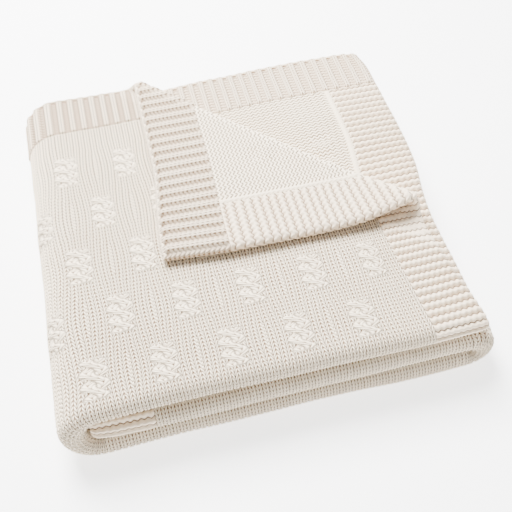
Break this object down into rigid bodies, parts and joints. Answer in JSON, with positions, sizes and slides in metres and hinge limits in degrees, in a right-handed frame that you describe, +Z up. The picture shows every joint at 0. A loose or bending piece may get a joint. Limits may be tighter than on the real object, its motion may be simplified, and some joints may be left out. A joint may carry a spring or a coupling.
{
  "type": "folded throw blanket",
  "caption": "Cable-knit throw blanket folded into a square pack, with ribbed ends, garter side bands and one corner turned back; the upper panel and the corner open.",
  "frame": {"origin": "middle of the pack's underside, on the surface it lies on", "axes": "+Z up through the stacked cloths, +X to the right along the front folds, -Y towards the front, where the three folds show"},
  "size_m": [0.339, 0.3298, 0.0732],
  "materials": {
    "body_knit": "matt cream yarn in stocking stitch with small rope cables",
    "rib_knit": "matt cream yarn in one-by-one rib",
    "garter_knit": "matt cream yarn in garter stitch"
  },
  "bodies": {
    "lower_panels": {"bottom_outer_body": "body_knit", "bottom_outer_rib": "rib_knit", "bottom_inner_body": "body_knit", "bottom_inner_rib": "rib_knit", "bottom_front_fold": "body_knit", "middle_inner_garter": "garter_knit", "middle_inner_body": "body_knit", "middle_inner_rib": "rib_knit", "middle_outer_garter": "garter_knit", "middle_outer_body": "body_knit", "middle_outer_rib": "rib_knit", "middle_front_fold": "body_knit", "right_roll_inner": "body_knit", "right_roll_outer": "body_knit", "left_roll_inner_lower": "body_knit", "left_roll_outer_lower": "body_knit"},
    "upper_panel": {"top_inner_body": "body_knit", "top_inner_rib": "rib_knit", "top_inner_garter": "garter_knit", "top_outer_body": "body_knit", "top_outer_rib": "rib_knit", "top_outer_garter": "garter_knit", "top_front_fold": "body_knit", "left_roll_inner_upper": "body_knit", "left_roll_outer_upper": "body_knit"},
    "turned_corner": {"corner_body": "body_knit", "corner_rib": "rib_knit", "corner_garter": "garter_knit"}
  },
  "joints": [
    {"name": "upper_panel_fold", "type": "hinge", "parent": "lower_panels", "child": "upper_panel", "pos_m": [-0.1695, 0, 0.0366], "axis": [0, -1, 0], "range_deg": [0, 179]},
    {"name": "corner_fold", "type": "hinge", "parent": "upper_panel", "child": "turned_corner", "pos_m": [0.05375, 0.05375, 0.06285], "axis": [-0.7071, 0.7071, 0], "range_deg": [0, 179]}
  ]
}
